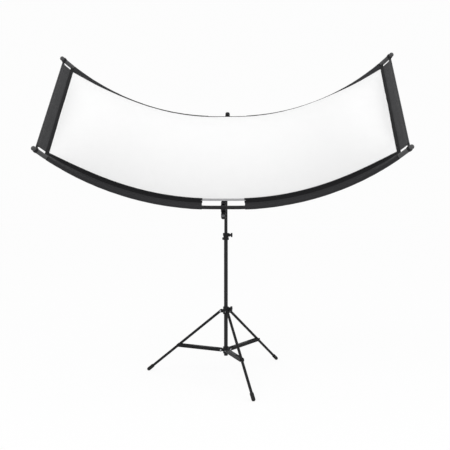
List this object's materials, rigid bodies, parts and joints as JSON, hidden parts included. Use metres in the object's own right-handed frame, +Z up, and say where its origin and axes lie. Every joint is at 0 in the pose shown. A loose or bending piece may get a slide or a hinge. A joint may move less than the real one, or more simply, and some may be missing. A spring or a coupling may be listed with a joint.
{
  "type": "curved light reflector on stand",
  "caption": "Curved rectangular light reflector: white cloth between two bowed tubes with black sleeves, on a tilting bracket and folding three-leg stand.",
  "frame": {"origin": "on the floor under the middle of the object box", "axes": "+Z up, +X to the right across the reflector, +Y away from the subject who faces the hollow side"},
  "size_m": [1.5512, 0.8452, 1.5446],
  "materials": {
    "satin_black_tube": "satin black coat",
    "leg_coat": "satin black coat",
    "black_plastic": "fine texture",
    "black_rubber": "moulded",
    "zinc_steel": "plated",
    "anodised_bar": "black anodised",
    "nylon_bush": "moulded",
    "bowed_tube_coat": "satin black coat",
    "tip_socket_grey": "fine texture",
    "cord_elastic": "braided",
    "stay_rod": "satin",
    "white_cloth": "plain weave, coated",
    "silver_cloth": "metallised",
    "black_cloth": "woven nylon",
    "band_cloth": "woven nylon",
    "hem_cloth": "folded hem"
  },
  "bodies": {
    "stand_base": {"lower_tube": "satin_black_tube", "base_plug": "black_plastic", "base_collar": "black_plastic", "base_pins": "zinc_steel", "lower_section_collar": "black_plastic"},
    "lower_section_knob": {"lower_section_knob": "black_plastic"},
    "leg_collar": {"leg_collar": "black_plastic", "leg_pins": "zinc_steel"},
    "leg_collar_knob": {"leg_collar_knob": "black_plastic"},
    "leg_front": {"leg_front": "leg_coat", "foot_front": "black_rubber", "rivet_front": "zinc_steel"},
    "brace_front": {"brace_front": "leg_coat"},
    "leg_right": {"leg_right": "leg_coat", "foot_right": "black_rubber", "rivet_right": "zinc_steel"},
    "brace_right": {"brace_right": "leg_coat"},
    "leg_left": {"leg_left": "leg_coat", "foot_left": "black_rubber", "rivet_left": "zinc_steel"},
    "brace_left": {"brace_left": "leg_coat"},
    "middle_section": {"middle_tube": "satin_black_tube", "middle_bush": "nylon_bush", "upper_section_collar": "black_plastic"},
    "upper_section_knob": {"upper_section_knob": "black_plastic"},
    "top_section": {"top_tube": "satin_black_tube", "top_bush": "nylon_bush", "spigot": "zinc_steel"},
    "bracket": {"bracket_socket": "black_plastic"},
    "spigot_lock_knob": {"spigot_lock_knob": "black_plastic"},
    "reflector": {"tilt_yoke": "black_plastic", "tilt_bolt": "zinc_steel", "crossbar": "anodised_bar", "crossbar_caps": "black_plastic", "nose_button": "zinc_steel", "clamp_saddles": "black_plastic", "near_clamp_jaw": "black_plastic", "far_clamp_jaw": "black_plastic", "near_arc_middle": "bowed_tube_coat", "near_arc_ends": "bowed_tube_coat", "far_arc_middle": "bowed_tube_coat", "far_arc_ends": "bowed_tube_coat", "arc_ferrules": "zinc_steel", "tip_sockets": "tip_socket_grey", "shock_cords": "cord_elastic", "end_stays": "stay_rod", "stay_clips": "black_plastic", "white_cloth": "white_cloth", "silver_backing": "silver_cloth", "near_sleeves": "black_cloth", "far_sleeves": "black_cloth", "end_bands": "band_cloth", "window_hems": "hem_cloth"},
    "tilt_knob": {"tilt_knob": "black_plastic"},
    "near_clamp_knob": {"near_clamp_knob": "black_plastic"},
    "far_clamp_knob": {"far_clamp_knob": "black_plastic"}
  },
  "joints": [
    {"name": "leg_collar_slide", "type": "slide", "parent": "stand_base", "child": "leg_collar", "axis": [0, 0, 1], "range_m": [0, 0.31165]},
    {"name": "leg_collar_knob_turn", "type": "hinge", "parent": "leg_collar", "child": "leg_collar_knob", "pos_m": [0, 0.10493, 0.334], "axis": [0.9848, -0.1736, 0], "range_deg": [-360, 0]},
    {"name": "lower_section_knob_turn", "type": "hinge", "parent": "stand_base", "child": "lower_section_knob", "pos_m": [0, 0.10493, 0.697], "axis": [1, 0, 0], "range_deg": [-360, 0]},
    {"name": "leg_front_fold", "type": "hinge", "parent": "leg_collar", "child": "leg_front", "pos_m": [0.00889, 0.0805, 0.322], "axis": [0.9397, 0.342, 0], "range_deg": [0, 48.17]},
    {"name": "brace_front_fold", "type": "hinge", "parent": "stand_base", "child": "brace_front", "pos_m": [0.00821, 0.08238, 0.128], "axis": [-0.9397, -0.342, 0], "range_deg": [0, 83.95]},
    {"name": "leg_right_fold", "type": "hinge", "parent": "leg_collar", "child": "leg_right", "pos_m": [0.01671, 0.12485, 0.322], "axis": [-0.766, 0.6428, 0], "range_deg": [0, 48.17]},
    {"name": "brace_right_fold", "type": "hinge", "parent": "stand_base", "child": "brace_right", "pos_m": [0.01543, 0.12331, 0.128], "axis": [0.766, -0.6428, 0], "range_deg": [0, 83.95]},
    {"name": "leg_left_fold", "type": "hinge", "parent": "leg_collar", "child": "leg_left", "pos_m": [-0.0256, 0.10944, 0.322], "axis": [-0.1736, -0.9848, 0], "range_deg": [0, 48.17]},
    {"name": "brace_left_fold", "type": "hinge", "parent": "stand_base", "child": "brace_left", "pos_m": [-0.02363, 0.1091, 0.128], "axis": [0.1736, 0.9848, 0], "range_deg": [0, 83.95]},
    {"name": "middle_section_slide", "type": "slide", "parent": "stand_base", "child": "middle_section", "axis": [0, 0, 1], "range_m": [-0.175, 0.24]},
    {"name": "upper_section_knob_turn", "type": "hinge", "parent": "middle_section", "child": "upper_section_knob", "pos_m": [0, 0.10493, 0.912], "axis": [1, 0, 0], "range_deg": [-360, 0]},
    {"name": "top_section_slide", "type": "slide", "parent": "middle_section", "child": "top_section", "axis": [0, 0, 1], "range_m": [0, 0.4]},
    {"name": "bracket_swivel", "type": "hinge", "parent": "top_section", "child": "bracket", "pos_m": [0, 0.10493, 0.97], "axis": [0, 0, 1], "continuous": true},
    {"name": "spigot_lock_knob_turn", "type": "hinge", "parent": "bracket", "child": "spigot_lock_knob", "pos_m": [0, 0.10493, 0.972], "axis": [1, 0, 0], "range_deg": [-360, 0]},
    {"name": "tilt_hinge", "type": "hinge", "parent": "bracket", "child": "reflector", "pos_m": [0, 0.10493, 1.029], "axis": [1, 0, 0], "range_deg": [-48.9, 40]},
    {"name": "tilt_knob_turn", "type": "hinge", "parent": "reflector", "child": "tilt_knob", "pos_m": [0, 0.10493, 1.029], "axis": [1, 0, 0], "range_deg": [-360, 0]},
    {"name": "near_clamp_knob_turn", "type": "hinge", "parent": "reflector", "child": "near_clamp_knob", "pos_m": [0, -0.11445, 0.85358], "axis": [0, -0.7536, 0.6574], "range_deg": [0, 360]},
    {"name": "far_clamp_knob_turn", "type": "hinge", "parent": "reflector", "child": "far_clamp_knob", "pos_m": [0, 0.27998, 1.30572], "axis": [0, -0.7536, 0.6574], "range_deg": [0, 360]}
  ],
  "couplings": [
    {"joint": "leg_front_fold", "follows": "leg_collar_slide", "rad_per_m": 2.6974},
    {"joint": "brace_front_fold", "follows": "leg_collar_slide", "rad_per_m": 4.7009},
    {"joint": "leg_right_fold", "follows": "leg_collar_slide", "rad_per_m": 2.6974},
    {"joint": "brace_right_fold", "follows": "leg_collar_slide", "rad_per_m": 4.7009},
    {"joint": "leg_left_fold", "follows": "leg_collar_slide", "rad_per_m": 2.6974},
    {"joint": "brace_left_fold", "follows": "leg_collar_slide", "rad_per_m": 4.7009}
  ]
}
